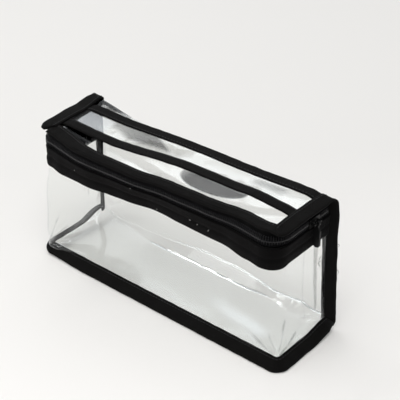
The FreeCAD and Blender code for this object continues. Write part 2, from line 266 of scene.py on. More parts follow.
def vinyl_material():
    """Clear soft PVC: mostly see-through, glossy, more mirror-like at a slant.

    The mark attribute's red is a painted highlight, and its green is painted shade.
    """
    material, tree, shader = new_material("clear_vinyl")
    shader.inputs["Roughness"].default_value = 0.08
    where = node(tree, "ShaderNodeTexCoord").outputs["Object"]
    ripple = node(tree, "ShaderNodeTexNoise", {"Vector": where, "Scale": 38.0, "Detail": 1.0})
    normal = bump(tree, ripple.outputs["Fac"], 0.25, 0.0012)
    tree.links.new(normal, shader.inputs["Normal"])
    mark = node(tree, "ShaderNodeAttribute", attribute_name="mark").outputs["Color"]
    mark = node(tree, "ShaderNodeSeparateColor", {"Color": mark})
    painted_highlight, painted_shade = mark.outputs["Red"], mark.outputs["Green"]
    # Painted shade darkens what shows through the sheet, and the mirror layer's colour too.
    tint_and_painted_shade = mix(tree, painted_shade, (0.991, 0.994, 0.990, 1), (0.20, 0.20, 0.205, 1))
    clear = node(tree, "ShaderNodeBsdfTransparent", {"Color": tint_and_painted_shade}).outputs[0]
    mirror = mix(tree, painted_shade, (0.93, 0.945, 0.955, 1), (0.14, 0.14, 0.14, 1))
    tree.links.new(mirror, shader.inputs["Base Color"])
    # Where a highlight is painted, the mirror layer is partly a matt whitish one.
    painted_highlight_metallic = calculate(tree, "MULTIPLY_ADD", painted_highlight, -0.35, 1.0)
    tree.links.new(painted_highlight_metallic, shader.inputs["Metallic"])
    slant = node(tree, "ShaderNodeLayerWeight", {"Blend": 0.5, "Normal": normal})
    steep = calculate(tree, "POWER", slant.outputs["Facing"], 4.0)
    gloss = calculate(tree, "MULTIPLY_ADD", steep, 0.7, 0.033)
    # A painted highlight also raises the mirror layer's share.
    gloss = calculate(tree, "ADD", painted_highlight, gloss, use_clamp=True)
    mixed = node(tree, "ShaderNodeMixShader", {0: gloss, 1: clear, 2: shader.outputs[0]})
    tree.links.new(mixed.outputs[0], tree.nodes["Material Output"].inputs["Surface"])
    return material


def thread_bands(tree, uv, direction, pitch):
    """Dark and light bands over the UVs, pitch metres apart."""
    # A wave texture repeats every 2 pi / (20 * scale).
    return node(tree, "ShaderNodeTexWave", {
        "Vector": uv, "Scale": 2 * math.pi / (20 * pitch), "Distortion": 0.4, "Detail": 1.0,
    }, wave_type="BANDS", bands_direction=direction).outputs["Fac"]


def cloth_material(name, colour, pitch, ribs, sheen):
    """Black woven tape: threads from two crossed waves over the UVs, in metres.

    pitch is the thread spacing along the tape, and ribs times that the spacing across it.
    """
    material, tree, shader = new_material(name)
    uv = node(tree, "ShaderNodeUVMap", uv_map="UVMap").outputs["UV"]
    where = node(tree, "ShaderNodeTexCoord").outputs["Object"]
    across = thread_bands(tree, uv, "X", pitch)
    lengthways = thread_bands(tree, uv, "Y", pitch * ribs)
    weave = calculate(tree, "MULTIPLY", across, lengthways)
    fuzz = node(tree, "ShaderNodeTexNoise", {"Vector": where, "Scale": 2600.0, "Detail": 3.0})
    patch = node(tree, "ShaderNodeTexNoise", {"Vector": where, "Scale": 45.0, "Detail": 4.0})
    shade = mix(tree, patch.outputs["Fac"], shaded(colour, 0.6), shaded(colour, 2.2))
    thread = mix(tree, weave, shaded(colour, 0.3), shade)
    tree.links.new(thread, shader.inputs["Base Color"])
    normal = bump(tree, weave, 0.55, pitch * 0.5)
    normal = bump(tree, fuzz.outputs["Fac"], 0.25, 0.00012, normal)
    tree.links.new(normal, shader.inputs["Normal"])
    shader.inputs["Roughness"].default_value = 0.85
    shader.inputs["Sheen Weight"].default_value = sheen
    shader.inputs["Sheen Roughness"].default_value = 0.45
    shader.inputs["Specular IOR Level"].default_value = 0.08
    return material


def smooth_material(name, colour, roughness, specular=0.5):
    """Moulded nylon, enamelled metal or twisted thread, with a fine uneven surface."""
    material, tree, shader = new_material(name)
    where = node(tree, "ShaderNodeTexCoord").outputs["Object"]
    speckle = node(tree, "ShaderNodeTexNoise", {"Vector": where, "Scale": 900.0, "Detail": 3.0})
    speckle = speckle.outputs["Fac"]
    shade = mix(tree, speckle, shaded(colour, 0.7), shaded(colour, 1.3))
    tree.links.new(shade, shader.inputs["Base Color"])
    tree.links.new(bump(tree, speckle, 0.15, 0.0001), shader.inputs["Normal"])
    shader.inputs["Roughness"].default_value = roughness
    shader.inputs["Specular IOR Level"].default_value = specular
    return material


VINYL = vinyl_material()
BINDING = cloth_material("binding_tape", (0.0075, 0.007, 0.0065), 0.0006, 0.6, sheen=0.03)
BAND_CLOTH = cloth_material("band_cloth", (0.0045, 0.004, 0.0042), 0.0005, 1.0, sheen=0.02)
ZIP_TAPE = cloth_material("zip_tape", (0.003, 0.003, 0.0033), 0.0007, 0.5, sheen=0.01)
THREAD = smooth_material("sewing_thread", (0.016, 0.016, 0.017), 0.6)
ZIP_THREAD = smooth_material("zip_thread", (0.008, 0.008, 0.009), 0.8, specular=0.03)
COIL = smooth_material("zip_coil", (0.005, 0.005, 0.007), 0.26, specular=0.4)
ENAMEL = smooth_material("black_enamel", (0.004, 0.004, 0.004), 0.42, specular=0.2)
LINT = smooth_material("lint", (0.5, 0.5, 0.48), 0.9)

# ---------------------------------------------------------------- the bag's shape

# The soft front edge isn't straight. Each station is (x, how far the wall stands out there),
# at the band's lower edge and at the lid.
BAND_EDGE_OUT = [(-98, 3.4), (-84, 5.8), (-60, 6.2), (-30, 2.0), (0, -2.4), (30, -1.4),
                 (55, -1.5), (80, 2.5), (98, 4.5)]
LID_EDGE_OUT = [(-100, 2.6), (-62, 8.0), (-20, 7.0), (14, 3.0), (42, 1.5), (70, -1.0),
                (92, 1.0), (100, 0.0)]

# The left front corner's extra swell, by height.
LEFT_BULGE = [(8, 3.4), (20, 4.2), (56, 3.6), (82, 0.0)]

# Shares of the way round the wall: left end, left corner, front, right corner, right end.
WALL_STOPS = (0.0, 0.155, 0.215, 0.785, 0.845, 1.0)


def corner_lift(x, y):
    """How far the bottom's back corners are pulled up off the floor."""
    rise = 4.5 if x < 0 else 2.8
    return rise * ramp(abs(x), HALF - 18, HALF) * ramp(y, BACK - 24, BACK - 4)


def wall_ends(z, side=1):
    """Half length and front corner radius of the wall at a level."""
    t = min(max((z - BASE) / (BAND_BOTTOM - BASE), 0.0), 1.0)
    radius = BOTTOM_CORNER + (TOP_CORNER[side] - BOTTOM_CORNER) * t**0.8
    return HALF + (ZIP_END - HALF) * t, radius


def wall_plan(u, z):
    """Point and outward normal of the plain wall, u from 0 at the left back to 1."""
    end, radius = wall_ends(z, -1 if u < 0.5 else 1)
    left_end, left_bend, front_end, right_bend = WALL_STOPS[1:5]
    if u <= left_end:
        y = BACK + (FRONT + radius - BACK) * u / left_end
        swing = 2.2 * ramp(y, -12, BACK) * ramp(z, BASE, BAND_BOTTOM)
        return Vector((-end - swing, y, z)), Vector((-1, 0, 0))
    if u <= left_bend:
        turn = (u - left_end) / (left_bend - left_end) * math.pi / 2
        normal = Vector((-math.cos(turn), -math.sin(turn), 0))
        return Vector((radius - end, FRONT + radius, z)) + normal * radius, normal
    if u <= front_end:
        t = (u - left_bend) / (front_end - left_bend)
        left = wall_ends(z, -1)[1] - end
        right = end - wall_ends(z, 1)[1]
        return Vector((left + (right - left) * t, FRONT, z)), Vector((0, -1, 0))
    if u <= right_bend:
        turn = (u - front_end) / (right_bend - front_end) * math.pi / 2
        normal = Vector((math.sin(turn), -math.cos(turn), 0))
        return Vector((end - radius, FRONT + radius, z)) + normal * radius, normal
    t = (u - right_bend) / (1 - right_bend)
    return Vector((end, FRONT + radius + (BACK - FRONT - radius) * t, z)), Vector((1, 0, 0))


def wall_out(point, normal):
    """How far the soft wall stands out of the plain one."""
    facing = ramp(-normal.y, 0.0, 1.0)
    bulge = along(point.z, LEFT_BULGE) * ramp(-point.x, 82, 104) * ramp(-point.y, -6, 22)
    lower = along(point.x, BAND_EDGE_OUT)
    upper = along(point.x, LID_EDGE_OUT)
    if point.z < BAND_BOTTOM:
        share = ramp(point.z, BASE, BAND_BOTTOM) ** 1.2
        return facing * lower * share + bulge
    return facing * (lower + (upper - lower) * ramp(point.z, BAND_BOTTOM, LID_LEVEL)) + bulge


def wall(u, z, out):
    """A point on the soft wall, out from its surface by a distance."""
    point, normal = wall_plan(u, z)
    return point + normal * (wall_out(point, normal) + out)


def crease_star(a, b, spread, depth, folds, phase):
    """Radial folds round a pinched corner, a and b away from it in the sheet."""
    distance = math.hypot(a, b)
    angle = math.atan2(b, a)
    fade = math.exp(-distance / spread) * min(distance / 5.0, 1.0)
    return depth * fade * math.cos(folds * angle + phase + 0.35 * math.sin(distance / 6.0))


def end_folds(rear, height):
    """Upright folds down an end wall, at a distance in front of the back seam."""
    out = 1.1 * ridge(rear - 13 - height * 0.04, 2.6) * ramp(height, 2, 30)
    out -= 1.3 * ridge(rear - 7, 3.2) * ramp(height, 4, 25)
    out -= 0.9 * ridge(rear - 21 - 1.5 * math.sin(height / 24), 1.0) * ramp(height, 6, 16)
    # The whole wall bows inwards, most halfway along.
    return out - 1.6 * hump(rear / DEPTH) * ramp(height, 0, 40)


def wrap_crease(point, normal):
    """Creases and waves of the clear front wrap, out of its surface."""
    height = point.z - BASE
    free = ramp(height, 0, 14) * (1 - ramp(point.z, BAND_BOTTOM - 10, BAND_BOTTOM + 2))
    wave = 0.9 * rough(point, 46, 1.3) + 0.45 * rough(point, 19, 4.1)
    wave += 0.22 * rough(point, 8, 7.7)
    out = wave * (0.15 + 0.85 * free)
    for side in (-1, 1):
        reach = abs(point.x - side * HALF) + (point.y - FRONT)
        out += crease_star(reach, height, 18, 2.1, 9, side)
        facing = ramp(normal.x * side, 0.6, 1.0)
        if facing:
            out += facing * end_folds(BACK - point.y, height)
    return out


def front_wrap():
    """Left end, front and right end of clear vinyl, one strip."""
    gather = Build()
    rows = []
    tail = 0.6  # how far the lowest row goes below the bottom sheet, and outwards
    for z in frange(BASE - tail, WRAP_TOP, 64):
        row = []
        for u in frange(0, 1, 260):
            point, normal = wall_plan(u, max(z, BASE))
            out = wall_out(point, normal) + wrap_crease(point, normal) - SHEET
            if z < BASE:
                out += tail
            lift = corner_lift(point.x, point.y) * (1 - ramp(z, BASE, BASE + 40))
            row.append(Vector((point.x, point.y, z + lift)) + normal * out)
        rows.append(row)
    gather.grid(rows)
    piece = thicken(gather.make("vinyl_front_wrap", [VINYL]), SHEET)
    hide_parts("front_wrap_panel")
    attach(piece, "bag")


# ---------------------------------------------------------------- back, bottom and lid sheet


# The lower back fold is flattened: how far its two creases stand from the corner line.
LOW_CREASE = [(-100, 1.5), (-82, 2.5), (-44, 8.4), (-4, 7.0), (35, 7.4), (59, 5.2),
              (76, 6.6), (101, 1.5)]
UP_CREASE = [(-100, 1.2), (-70, 1.6), (-44, 3.0), (-8, 7.6), (30, 8.0), (64, 3.6),
             (84, 5.2), (102, 1.2)]
CREASE_TURN = 1.5  # how far a crease's rounded turn reaches on each side
FACET_START, FACET_END = 0.4, 0.6  # the flat between the creases, as shares of the fold

# How strong the painted highlight along each of the two creases is, as (x, highlight).
LOW_CREASE_HIGHLIGHT = [(-52, 0), (-46, 0.7), (10, 0.85), (50, 0.9), (57, 0.6), (60, 0), (68, 0),
             (70, 0.8), (72, 0)]
UP_CREASE_HIGHLIGHT = [(-50, 0), (-10, 0.3), (30, 0.5), (50, 0.9), (103, 0.95), (106, 0.8)]

# The stretches of the sheet from the bottom's front edge round, and the rows of each.
SHEET_ROWS = {"bottom": 34, "low": 31, "back": 40, "high": 14, "lid": 44}


def crease_point(before, corner, after, t):
    """A small rounded turn between two flats."""
    return before.lerp(corner, t).lerp(corner.lerp(after, t), t)


def crease_wobble(x, scale, seed):
    """Small unevenness of a crease line."""
    return 0.5 * rough((x, 0, 0), scale, seed) + 0.12 * rough((x, 0, 0), 5, seed + 1)


def low_fold(x, t):
    """Point (0, y, z) on the flattened fold, t from the bottom sheet to the back."""
    low = along(x, LOW_CREASE) + crease_wobble(x, 10, 2.2)
    up = along(x, UP_CREASE) + crease_wobble(x, 11, 6.2)
    level = BOTTOM_LEVEL + corner_lift(x, BACK)
    lower = Vector((0, BACK - low, level))
    upper = Vector((0, BACK, level + up))
    facet = (upper - lower).normalized() * CREASE_TURN
    if t < FACET_START:
        before = lower - Vector((0, CREASE_TURN, 0))
        return crease_point(before, lower, lower + facet, t / FACET_START)
    if t < FACET_END:
        share = (t - FACET_START) / (FACET_END - FACET_START)
        return (lower + facet).lerp(upper - facet, share)
    after = upper + Vector((0, 0, CREASE_TURN))
    return crease_point(upper - facet, upper, after, (t - FACET_END) / (1 - FACET_END))


def high_roll(x):
    """Radius of the upper back fold, which sags away from the corners."""
    share = 1 - abs(x / LID_END) ** (4 if x > 0 else 2)
    return 2.5 + (8.5 + 1.2 * rough((x, 9, 0), 40, 5.2)) * max(share, 0.0)


def lid_height(x, y):
    """Height of the lid's clear sheet: sagging in the middle, raised over the slider end."""
    inside_x = 1 - min(abs(x / LID_END), 1.0) ** 6
    inside_y = hump((y - FRONT) / DEPTH)
    hold = 0.3 + 0.7 * inside_y ** 0.5
    rise = hold * (3.3 * ramp(x, 48, 96) - 0.22 * max(x - 97, 0) + 2.6 * ramp(-x, 62, 98))
    rise += 2.4 * ramp(-x, 66, 96) * ramp(y, 6, BACK - 5)
    rise -= 2.2 * inside_y * inside_x * (1 + 0.5 * rough((x, 0, 0), 60, 8.0))
    wave = 0.7 * rough((x, y, 0), 38, 3.0) + 0.25 * rough((x, y, 0), 15, 6.0)
    return LID_SHEET + rise + wave * inside_y


def lid_front(x):
    """Where the lid's front edge is at x."""
    corner = 6.0
    past = max(abs(x) - (LID_END - corner), 0.0)
    round_in = corner - math.sqrt(max(corner**2 - past**2, 0.0))
    return FRONT - along(x, LID_EDGE_OUT) + round_in


def painted_crease_highlight(x, t):
    """Painted highlight along the flattened fold's two creases, t across it from the bottom sheet
    to the back.
    """
    thin = 0.85 + 0.4 * rough((x, 0, 0), 9, 1.1)
    lower = along(x, LOW_CREASE_HIGHLIGHT) * thin * ridge(t - 0.2, 0.10)
    upper = along(x, UP_CREASE_HIGHLIGHT) * thin * ridge(t - 0.8, 0.12)
    return min(lower + upper, 1.0)


def painted_bottom_reflection(x, y):
    """A painted reflection: a pale streak on the bottom sheet."""
    centre = along(x, [(20, -2), (58, -8), (90, -13)])
    return 0.22 * ramp(x, 18, 60) * (1 - ramp(x, 74, 90)) * ridge(y - centre, 5.5)


def lid_painted_shade(x, y):
    """Painted shade on the lid's clear sheet: a lens-shaped patch right of the middle, a patch at
    the left end and a strip along its left front.
    """
    lens = 1 - ((x - 31) / 28) ** 2 - ((y + 3) / (13.5 - 0.06 * (x - 57))) ** 2
    lens = ramp(lens, 0.0, 0.14) * ramp(x, -10, 16) * (1 - ramp(y, -4, 6))
    corner = ramp(-x - 74 - (24 - y) * 0.9, 0, 5) * ramp(y, -12, 2)
    gap = ramp(-x, 67, 70) * (1 - ramp(-x, 90, 94)) * (1 - ramp(y, -13, -9))
    return min(0.72 * lens + 0.6 * corner + 0.92 * gap, 1.0)


def end_pinches(x, distance, spread, depth, phase=0.0):
    """Radial folds round the two ends of a bottom edge, a distance from that edge."""
    return sum(crease_star(HALF - side * x, distance, spread, depth, 7, side + phase)
               for side in (-1, 1))


def sheet_point(stretch, t, c):
    """Point of the folded sheet, t along one stretch of it, and c from -1 to 1 across it."""
    wide = HALF - SIDE_GAP
    x = c * wide
    radius = high_roll(x)
    inside = hump(t) * (1 - abs(c) ** 6)
    if stretch == "bottom":
        start = FRONT + SHEET
        y = start + (low_fold(x, 0).y - start) * t
        z = BOTTOM_LEVEL - 1.2 * inside + 0.35 * rough((x, y, 0), 30, 9.0) * inside
        z += corner_lift(x, y)
        z += end_pinches(x, y - FRONT, 15, 0.9) + end_pinches(x, BACK - y, 13, 0.9, 0.5)
    elif stretch == "low":
        y, z = low_fold(x, t).yz
    elif stretch == "back":
        low_z = low_fold(x, 1).z
        z = low_z + (LID_SHEET - radius - low_z) * t
        wave = 1.2 * rough((x, 0, z), 44, 2.0) + 0.4 * rough((x, 0, z), 16, 3.0)
        y = BACK + inside * (1.2 + wave) + end_pinches(x, z - BASE, 15, 0.8)
        wide = wall_ends(z)[0] - SIDE_GAP
    elif stretch == "high":
        turn = t * math.pi / 2
        y = BACK - radius + radius * math.cos(turn)
        z = LID_SHEET - radius + radius * math.sin(turn)
        z += (lid_height(x, y) - LID_SHEET) * t
        wide = ZIP_END - SIDE_GAP + (LID_HALF - ZIP_END + SIDE_GAP) * t
    else:
        start = BACK - radius
        y = start + (lid_front(x) + 0.8 - start) * t
        z = lid_height(x, y)
        wide = LID_HALF
    return Vector((c * wide, y, z))


def sheet_mark(stretch, t, point):
    """Painted highlight, painted reflection and painted shade at a point of the folded sheet."""
    if stretch == "bottom":
        return painted_bottom_reflection(point.x, point.y), 0.0
    if stretch == "low":
        return painted_crease_highlight(point.x, t), 0.0
    if stretch == "back":
        return 0.0, 0.0
    return 0.0, lid_painted_shade(point.x, point.y)


def one_sheet():
    """Bottom, back and lid: one clear sheet folded twice."""
    gather = Build()
    columns = frange(-1, 1, 200)
    rows = []
    marks = []
    for stretch, count in SHEET_ROWS.items():
        # Each stretch after the first leaves out the row that it shares with the one before.
        for t in frange(0, 1, count)[0 if stretch == "bottom" else 1:]:
            rows.append([sheet_point(stretch, t, c) for c in columns])
            marks.append([sheet_mark(stretch, t, point) for point in rows[-1]])
    gather.grid(rows, marks=marks)
    piece = thicken(gather.make("vinyl_back_bottom_lid", [VINYL]), SHEET)
    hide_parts("back_bottom_panel", "lid_panel")
    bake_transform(piece)


# ---------------------------------------------------------------- bound seams


# What differs between the side tapes: how far each starts below the base (less than 0 is
# above it), how far its fin points backward at the base, how far outward it lies on the lid
# and how it tilts there, how short of the lid's front it stops, its width, and how much
# narrower it is over the fold.
SIDE_TAPES = {
    -1: {"name": "left", "below": -1.0, "backward": 0.72, "outward": 0.3, "tilt": -0.06,
         "short": 1.6, "wide": TAPE_WIDE + 0.6, "pinch": 2.6},
    1: {"name": "right", "below": 4.0, "backward": 1.0, "outward": 0.4, "tilt": -0.25,
        "short": 0.4, "wide": TAPE_WIDE - 0.6, "pinch": 1.0},
}


def tape_axes(path, across, i):
    """Unit vectors across a tape and out of its face, at point i of its path."""
    ahead = path[min(i + 1, len(path) - 1)]
    behind = path[max(i - 1, 0)]
    tangent = (ahead - behind).normalized()
    side = (across[i] - tangent * across[i].dot(tangent)).normalized()
    return side, tangent.cross(side)


def ribbon(gather, path, across, widths, thick, pucker, seed):
    """A folded tape along path, as wide as widths; across points to its folded side."""
    # The tape's section, as shares of its width and thickness, thinner at both edges.
    profile = []
    for a in frange(-0.5, 0.5, 9):
        profile.append((a, 0.5 - 0.22 * (1 - ramp(a, -0.5, -0.3)) - 0.28 * ramp(a, 0.38, 0.5)))
    ring = profile + [(a, -b) for a, b in reversed(profile)]
    rows = []
    uvs = []
    travelled = 0.0
    for i, point in enumerate(path):
        side, normal = tape_axes(path, across, i)
        wide = widths[i]
        if i:
            travelled += (point - path[i - 1]).length
        row = []
        for a, b in ring:
            lift = pucker * rough(point + side * (a * wide), 9, seed)
            lift += 0.5 * pucker * rough(point + side * (a * wide), 3.5, seed + 5)
            edge = 0.25 * rough(point, 6, seed + 9) * (1 if abs(a) > 0.45 else 0)
            row.append(point + side * (a * wide + edge) + normal * (b * thick + lift))
        rows.append(row)
        uvs.append([(travelled * MM, a * wide * MM) for a, b in ring])
    start = gather.grid(rows, closed=True, uvs=uvs)
    gather.cap(reversed(range(start, start + len(ring))))
    end = start + (len(rows) - 1) * len(ring)
    gather.cap(range(end, end + len(ring)))


def stitch(gather, path, normals, pitch=2.6, gap=0.7, radius=0.2):
    """A row of lockstitches along path, each a short sunken thread."""
    lengths = [0.0]
    for a, b in zip(path, path[1:]):
        lengths.append(lengths[-1] + (b - a).length)
    place = gap
    while place + pitch - gap < lengths[-1]:
        centres = []
        radii = []
        for t in (0.0, 0.2, 0.5, 0.8, 1.0):
            target = place + t * (pitch - gap)
            i = max(k for k in range(len(lengths) - 1) if lengths[k] <= target)
            share = (target - lengths[i]) / max(lengths[i + 1] - lengths[i], 1e-6)
            point = path[i].lerp(path[i + 1], share)
            lift = radius * (1.4 * math.sin(math.pi * t) - 0.9)
            centres.append(point + normals[i] * lift)
            radii.append(radius * (0.75 if t in (0.0, 1.0) else 1.0))
        gather.tube(centres, radii, sides=5, slot=THREAD_SLOT)
        place += pitch


def bound_seam(name, path, across, widths, nodes, body=None, *, seed, thick=TAPE,
               pucker=0.25, margin=1.9, frays=()):
    """A whole binding: folded tape, a stitch line on both faces, and frayed thread ends.

    margin is from the tape's raw side to its stitches. Without a body, the piece is left
    unattached.
    """
    gather = Build()
    for fray in frays:
        curve = [bezier(*fray, t) for t in frange(0, 1, 12)]
        gather.tube(curve, frange(0.16, 0.09, 12), slot=THREAD_SLOT)
    ribbon(gather, path, across, widths, thick, pucker, seed)
    for face in (1, -1):
        line = []
        normals = []
        for i, point in enumerate(path):
            side, normal = tape_axes(path, across, i)
            normal = normal * face
            spot = point + side * (margin - widths[i] / 2)
            lift = pucker * rough(spot, 9, seed) * face
            line.append(spot + normal * (thick / 2 + lift))
            normals.append(normal)
        stitch(gather, line, normals)
    piece = gather.make(name, [BINDING, THREAD])
    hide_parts(*nodes)
    if body:
        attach(piece, body)
    return piece


def trim_ends(path, across, widths, length, keep):
    """Round a tape's cut ends: narrower over the last length, its raw side left in place."""
    for order in (range(len(path)), range(len(path) - 1, -1, -1)):
        tip = path[order[0]].copy()
        for i in order:
            from_tip = (path[i] - tip).length
            if from_tip > length:
                break
            share = keep + (1 - keep) * math.sqrt(1 - (1 - from_tip / length) ** 2)
            lost = widths[i] * (1 - share)
            widths[i] -= lost
            path[i] = path[i] - across[i].normalized() * (lost / 2)


def bottom_seam():
    """Binding round the left, front and right bottom edges, a fin hanging outwards."""
    tuck = 0.9  # how far the raw side is tucked in past the seam
    corners = [wall_plan(u, BASE) for u in frange(0.004, 0.985, 230)]
    # Both ends run on past the back corners.
    (first, first_normal), (last, last_normal) = corners[0], corners[-1]
    corners.insert(0, (first + Vector((0, 3.0, 0)), first_normal))
    corners.append((last + Vector((0, 7.5, 0)), last_normal))
    path = []
    across = []
    widths = []
    for point, normal in corners:
        left, right = max(-normal.x, 0.0), max(normal.x, 0.0)
        wide = 10.6 - 3.4 * left**2 - 1.2 * ramp(-point.x, 70, 100)
        down = Vector((0, 0, 0.75 * left**2 - 1))
        slope = (normal * (0.92 + 0.1 * left - 0.04 * right) + down).normalized()
        lift = Vector((0, 0, corner_lift(point.x, point.y)))
        path.append(point + slope * (wide / 2 - tuck) + lift)
        across.append(slope)
        widths.append(wide)
    trim_ends(path, across, widths, 5.0, keep=0.7)
    bound_seam("bottom_binding_tape", path, across, widths, ["bottom_binding"], "bag", seed=1.0)


def bezier(a, b, c, d, t):
    """Point on a cubic curve."""
    s = 1 - t
    return a * s**3 + b * (3 * s * s * t) + c * (3 * s * t * t) + d * t**3


def side_path(side):
    """Centre line of a side tape, and the direction of its folded side at each point."""
    tape = SIDE_TAPES[side]
    path = []
    across = []
    for z in frange(BASE - tape["below"], LID_LEVEL - 9, 64):
        lean = ramp(z, BASE, LID_LEVEL)
        slope = Vector((side, tape["backward"] - 0.5 * lean, 0)).normalized()
        corner = wall_plan(0.0 if side < 0 else 1.0, z)[0]
        out = 1.6 + 0.3 * lean + 0.35 * rough((0, side, z), 14, 3)
        path.append(corner + slope * out)
        across.append(slope)
    # Over the fold, then along the lid's end.
    lid_x = (LID_END - TAPE_WIDE / 2 + tape["outward"]) * side
    tilt = Vector((side, 0, tape["tilt"])).normalized()
    rear = BACK - 7.0
    start = path[-1]
    finish = Vector((lid_x, rear, lid_height(lid_x, rear) + LID_TAPE_RISE))
    rising, level = start + Vector((0, 0.4, 8.0)), finish + Vector((0, 8.0, 0.6))
    for t in frange(0, 1, 17)[1:]:
        path.append(bezier(start, rising, level, finish, t))
        across.append(slope.lerp(tilt, ramp(t, 0.1, 0.95)).normalized())
    front = FRONT - along(side * 100, LID_EDGE_OUT) + tape["short"]
    for y in frange(rear, front, 40)[1:]:
        path.append(Vector((lid_x, y, lid_height(lid_x, y) + LID_TAPE_RISE)))
        across.append(tilt)
    return path, across


def thread_ends():
    """Curves of the thread ends that hang from the right tape's cut edges."""
    frays = []
    for z, turn, length in ((62, -1, 9), (58, -1.3, 5), (50, 1, 4), (71, 1, 2.5)):
        # turn is -1 at the tape's inner edge and 1 at its outer one.
        start = wall_plan(1.0, z)[0] + Vector((-2.6, -2.6, 0) if turn < 0 else (4.6, 4.6, 0))
        bend = Vector((turn * 1.2, turn * 1.0, -0.3 * length))
        tip = start + Vector((turn * 0.6, turn * 0.4, -length))
        frays.append((start, start + bend, start + bend * 1.6, tip))
    return frays


def side_seam(side):
    """Binding up a back corner, over the fold and along the lid's end."""
    tape = SIDE_TAPES[side]
    name = tape["name"]
    path, across = side_path(side)
    widths = []
    for point in path:
        fold = ridge(point.y - BACK + 2, 7) * ramp(point.z, LID_LEVEL - 14, LID_LEVEL - 2)
        widths.append(tape["wide"] - tape["pinch"] * fold)
    trim_ends(path, across, widths, 4.0, keep=0.66)
    nodes = [f"{name}_back_binding", f"lid_{name}_binding"]
    piece = bound_seam(f"{name}_side_binding_tape", path, across, widths, nodes,
                       thick=1.6, seed=3.0 + side, frays=thread_ends() if side > 0 else ())
    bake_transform(piece)


def lid_front_seam():
    """Binding along the lid's front edge."""
    path = []
    widths = []
    tilt = Vector((0, -1, -0.14)).normalized()
    for x in frange(-LID_END + 8, LID_END - 4, 150):
        wide = 8.5 + 2.6 * ramp(-x, 40, 85)
        middle = lid_front(x) + wide / 2 - 2.0
        path.append(Vector((x, middle, lid_height(x, middle) + 0.3)))
        widths.append(wide)
    bound_seam("lid_front_binding_tape", path, [tilt] * len(path), widths,
               ["lid_front_binding"], "lid", seed=6.0)


# ---------------------------------------------------------------- carry handle

HANDLE_LEFT = (-13.5, 11.0)  # y of the front and rear tapes at the left end
HANDLE_RIGHT = (-4.0, 22.0)
HANDLE_TAPE = 8.8  # width of its two tapes
HANDLE_REACH = LID_END - 5.0  # half its length


def handle_line(x, rear):
    """Centre of a handle tape at x: sewn under the end bindings, free between."""
    t = (x + HANDLE_REACH) / (2 * HANDLE_REACH)
    y = HANDLE_LEFT[rear] + (HANDLE_RIGHT[rear] - HANDLE_LEFT[rear]) * t
    if rear:
        rise = 3.6 * hump(t) ** 0.7
    else:
        rise = along(x, [(-HANDLE_REACH, 0.0), (-58, 0.8), (20, 6.4), (60, 5.4),
                         (HANDLE_REACH, 0.0)])
    sewn = ramp(abs(x), HANDLE_REACH - 12, HANDLE_REACH - 2)
    lid = lid_height(x, y) * 0.75 + LID_SHEET * 0.25
    clear = lid + 1.4 + rise
    return Vector((x, y, clear + (lid_height(x, y) + 0.2 - clear) * sewn))


def handle_painted_shade(x, t):
    """Painted shade on the handle's clear strip, t from its front tape to its rear one."""
    left = ramp(-x, 64, 74)
    low = along(x, [(-86, 0.95), (-67, 0.62), (-46, 0.38), (-22, 0.40)])
    slanted = ramp(x + 35 - 41 * (0.96 - t), -3.5, 3.5)
    sweep = ramp(t, low - 0.14, low + 0.14) * ramp(x, -84, -66) * (1 - slanted)
    sweep *= 0.7 + 0.3 * ramp(x, -66, -36)
    tail = ramp(x, 50, 60) * (1 - ramp(x, 74, 84)) * ramp(t, 0.35, 0.6) * (1 - ramp(t, 0.65, 0.85))
    return 0.12 * left + 0.5 * sweep * (1 - left) + 0.26 * tail


def handle():
    """Clear strip between two bound edges, sewn down at both ends of the lid."""
    stations = frange(-HANDLE_REACH, HANDLE_REACH, 240)
    lines = [[handle_line(x, rear) for x in stations] for rear in (0, 1)]
    for rear, label in enumerate(("front", "rear")):
        outward = Vector((0, 1 if rear else -1, 0.0))
        bound_seam(f"handle_{label}_binding_tape", lines[rear], [outward] * len(stations),
                   [HANDLE_TAPE] * len(stations), [f"handle_{label}_binding"], "lid",
                   seed=8.0 + rear, pucker=0.18, margin=1.5)
    gather = Build()
    rows = []
    marks = []
    for t in frange(0, 1, 44):
        row = []
        # Red is a painted highlight at the strip's left end, and green is its painted shade.
        marks.append([(0.17 * ramp(-x, 66, 72), handle_painted_shade(x, t)) for x in stations])
        for i, x in enumerate(stations):
            point = lines[0][i].lerp(lines[1][i], t)
            inside = hump(t) * (1 - abs(x / HANDLE_REACH) ** 8)
            flat = (x, point.y, 0)
            point.z += inside * (-0.9 + 0.9 * rough(flat, 32, 4.4) + 0.3 * rough(flat, 12, 2))
            row.append(point)
        rows.append(row)
    gather.grid(rows, marks=marks)
    piece = thicken(gather.make("vinyl_handle_strip", [VINYL]), SHEET)
    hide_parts("handle_strip")
    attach(piece, "lid")


# ---------------------------------------------------------------- band and zip


def wall_strip(gather, levels, outs, seed, low_edge=0.0, left_drop=0.0):
    """A cloth strip round the wall: its levels and how far each stands out.

    low_edge is the lower edge's unevenness, and left_drop how far it hangs at the left end.
    """
    rows = []
    uvs = []
    for i, (z, out) in enumerate(zip(levels, outs)):
        row = []
        uv = []
        share = (levels[-1] - z) / (levels[-1] - levels[0])
        for u in frange(0, 1, 320):
            drop = left_drop * (1 - ramp(u, 0.02, 0.17)) * share
            point = wall(u, z - drop, out)
            _, normal = wall_plan(u, z)
            point += normal * (0.3 * rough(point, 14, seed) + 0.12 * rough(point, 5, seed + 1))
            if i == 0:
                point.z += low_edge * rough(point, 12, seed + 3)
            row.append(point)
            uv.append((u * 0.31, z * MM))
        rows.append(row)
        uvs.append(uv)
    gather.grid(rows, uvs=uvs)


